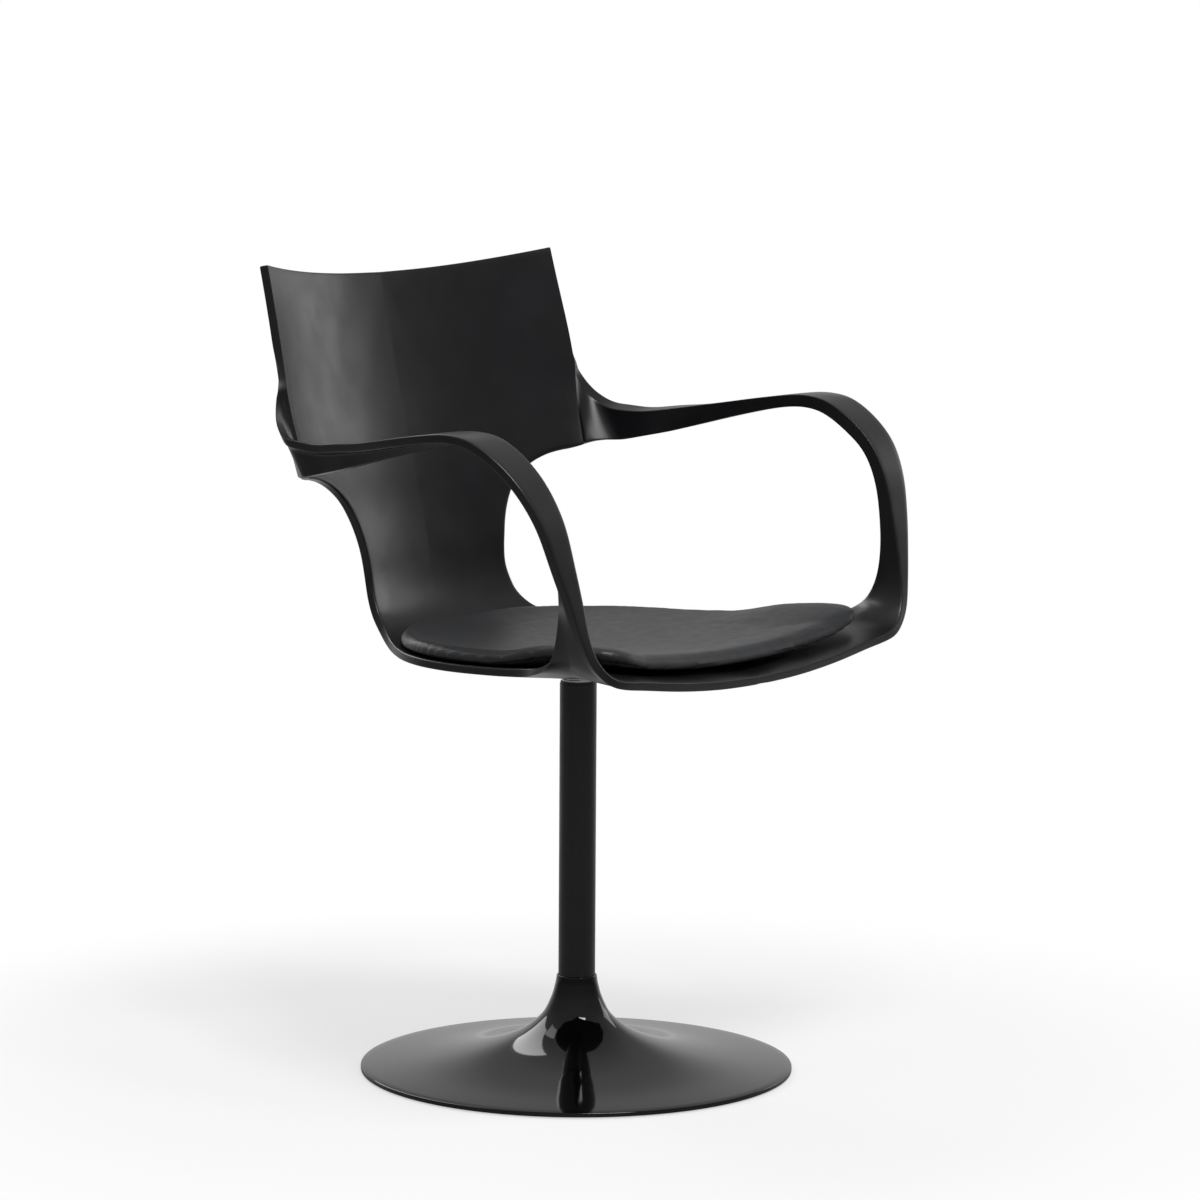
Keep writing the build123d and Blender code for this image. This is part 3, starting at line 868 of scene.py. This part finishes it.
studio = {
    "low": 0.1,  # strength of the world at and under the horizon
    "high": 0.42,  # and overhead, from this sine of the elevation on:
    "highFrom": 0.6,
    "away": (0.8, 0.6, 0),  # the white sweep stands on the side away from the camera
    "sweep": (0.3, 0.95),  # where it starts and is full, as cosines from that way
    "sweepTop": (0.2, 0.5),  # where it fades upwards, as sines of the elevation
    "gloss": (0.03, 0.6),  # its share in reflections, off the sweep and on it
    "topGloss": 0.05,  # what is left of that share above the sweep
    "dimFloor": 0.6,  # how much darker the floor is in reflections off the sweep
    "paper": "#f2f2f2",
    "paperRoughness": 0.8,
    "floor": 400,  # m, half its width
    "nearWhite": 0.55,  # how much of the floor is plain white beside the chair
    "whiteFrom": 450,  # mm from the swivel axis, where its shadow fades
    "whiteTo": 900,
    "aim": 0.45,  # m, the height that the soft boxes point at
    # place and size in m and power in W of the soft boxes
    "lamps": [
        ("keyBox", (-0.6, -1.2, 2.6), 0.9, 44),
        ("sideBox", (2.9, -0.6, 1.1), 1.2, 8),
        ("rearBox", (0.8, 2.4, 2.0), 1.6, 26),
        ("topBox", (-0.2, 1.6, 2.6), 0.7, 3),
    ],
}


def seenDirectly(tree, way):
    # 1 for rays that see the backdrop: camera and transmission rays, and a share of
    # glossy ones, as the black finishes show the sweep only behind the chair
    path = addNode(tree, "LightPath")
    unit = addNode(tree, "VectorMath", {"operation": "NORMALIZE"}, {0: way})
    side = addNode(
        tree, "VectorMath", {"operation": "DOT_PRODUCT", 1: studio["away"]}, {0: (unit, "Vector")}
    )
    share = addNode(
        tree,
        "MapRange",
        {
            "interpolation_type": "SMOOTHSTEP",
            "From Min": studio["sweep"][0],
            "From Max": studio["sweep"][1],
            "To Min": studio["gloss"][0],
            "To Max": studio["gloss"][1],
        },
        {"Value": (side, "Value")},
    )
    height = addNode(tree, "SeparateXYZ", {}, {"Vector": (unit, "Vector")})
    fade = addNode(
        tree,
        "MapRange",
        {
            "interpolation_type": "SMOOTHSTEP",
            "From Min": studio["sweepTop"][0],
            "From Max": studio["sweepTop"][1],
            "To Min": 1.0,
            "To Max": studio["topGloss"],
        },
        {"Value": (height, "Z")},
    )
    share = addNode(
        tree, "Math", {"operation": "MULTIPLY"}, {0: (share, "Result"), 1: (fade, "Result")}
    )
    direct = addNode(
        tree,
        "Math",
        {"operation": "MAXIMUM"},
        {0: (path, "Is Camera Ray"), 1: (path, "Is Transmission Ray")},
    )
    return addNode(
        tree,
        "Math",
        {"operation": "MULTIPLY_ADD", "use_clamp": True},
        {0: (path, "Is Glossy Ray"), 1: (share, "Value"), 2: (direct, "Value")},
    )


def paleFloor():
    plane = bmesh.new()
    bmesh.ops.create_grid(plane, x_segments=1, y_segments=1, size=studio["floor"])
    data = bpy.data.meshes.new("studioFloor")
    plane.to_mesh(data)
    plane.free()
    floor = bpy.data.objects.new("studioFloor", data)
    bpy.context.scene.collection.objects.link(floor)
    material, tree, shader = newMaterial("paleFloor")
    setShader(shader, Base_Color=linear(studio["paper"]), Roughness=studio["paperRoughness"])
    white = addNode(tree, "Emission", {"Strength": 1.0})
    place = addNode(tree, "TexCoord")
    distance = addNode(tree, "VectorMath", {"operation": "LENGTH"}, {0: (place, "Object")})
    share = addNode(
        tree,
        "MapRange",
        {
            "interpolation_type": "SMOOTHSTEP",
            "From Min": studio["whiteFrom"] * mm,
            "From Max": studio["whiteTo"] * mm,
            "To Min": studio["nearWhite"],
            "To Max": 1.0,
        },
        {"Value": (distance, "Value")},
    )
    seen = seenDirectly(tree, (place, "Object"))
    both = addNode(
        tree, "Math", {"operation": "MULTIPLY"}, {0: (seen, "Value"), 1: (share, "Result")}
    )
    path = addNode(tree, "LightPath")
    dim = addNode(
        tree,
        "Math",
        {"operation": "MULTIPLY", 1: studio["dimFloor"]},
        {0: (path, "Is Glossy Ray")},
    )
    dark = addNode(tree, "Emission", {"Strength": 0.0})
    ground = addNode(
        tree, "MixShader", {}, {0: (dim, "Value"), 1: (shader, "BSDF"), 2: (dark, "Emission")}
    )
    mix = addNode(
        tree, "MixShader", {}, {0: (both, "Value"), 1: (ground, "Shader"), 2: (white, "Emission")}
    )
    tree.links.new(mix.outputs["Shader"], tree.nodes["Material Output"].inputs["Surface"])
    data.materials.append(material)


def roomLight():
    world = bpy.data.worlds.new("studio")
    bpy.context.scene.world = world
    world.use_nodes = True
    tree = world.node_tree
    room = tree.nodes["Background"]
    room.inputs["Color"].default_value = (1, 1, 1, 1)
    way = addNode(tree, "TexCoord")
    parts = addNode(tree, "SeparateXYZ", {}, {"Vector": (way, "Generated")})
    rise = addNode(
        tree,
        "MapRange",
        {"From Max": studio["highFrom"], "To Min": studio["low"], "To Max": studio["high"]},
        {"Value": (parts, "Z")},
    )
    tree.links.new(rise.outputs["Result"], room.inputs["Strength"])
    white = addNode(tree, "Background", {"Color": (1, 1, 1, 1), "Strength": 1.0})
    seen = seenDirectly(tree, (way, "Generated"))
    mix = addNode(
        tree,
        "MixShader",
        {},
        {0: (seen, "Value"), 1: (room, "Background"), 2: (white, "Background")},
    )
    tree.links.new(mix.outputs["Shader"], tree.nodes["World Output"].inputs["Surface"])


def softBoxes():
    for name, spot, size, power in studio["lamps"]:
        light = bpy.data.lights.new(name, "AREA")
        light.size = size
        light.energy = power
        lamp = bpy.data.objects.new(name, light)
        lamp.location = spot
        lamp.rotation_mode = "QUATERNION"
        way = Vector((0, 0, studio["aim"])) - Vector(spot)
        lamp.rotation_quaternion = way.to_track_quat("-Z", "Y")
        bpy.context.scene.collection.objects.link(lamp)


camera = {
    "azimuth": -53.2,  # degrees round the chair, from the front to the photograph's side
    "distance": 4704,  # level distance from the swivel axis
    "height": 1085,
    "aside": 21.4,
    "down": 7.30,  # degrees, as is the roll
    "roll": 0.35,
    "focal": 4700,  # in pixels of the frame
    "frame": 1200,  # pixels across
    "sensor": 36,
    "far": 100,  # m, where its view ends
}


def photoCamera():
    turn, down, roll = [math.radians(camera[k]) for k in ("azimuth", "down", "roll")]
    level = Vector((-math.sin(turn), math.cos(turn), 0))
    right = Vector((math.cos(turn), math.sin(turn), 0))
    look = level * math.cos(down) - Vector((0, 0, 1)) * math.sin(down)
    up = right.cross(look)
    tilted = right * math.cos(roll) + up * math.sin(roll)
    data = bpy.data.cameras.new("photoCamera")
    data.sensor_width = camera["sensor"]
    data.lens = camera["sensor"] * camera["focal"] / camera["frame"]
    data.clip_end = camera["far"]
    eye = bpy.data.objects.new("photoCamera", data)
    bpy.context.scene.collection.objects.link(eye)
    bpy.context.scene.camera = eye
    facing = Matrix((tilted, tilted.cross(look), -look)).transposed()
    eye.rotation_mode = "QUATERNION"
    eye.rotation_quaternion = facing.to_quaternion()
    eye.location = (-level * camera["distance"] + right * camera["aside"]) * mm
    eye.location.z = camera["height"] * mm


paleFloor()
roomLight()
softBoxes()
photoCamera()
bpy.context.scene.view_settings.view_transform = "Standard"
print("stage and camera set")
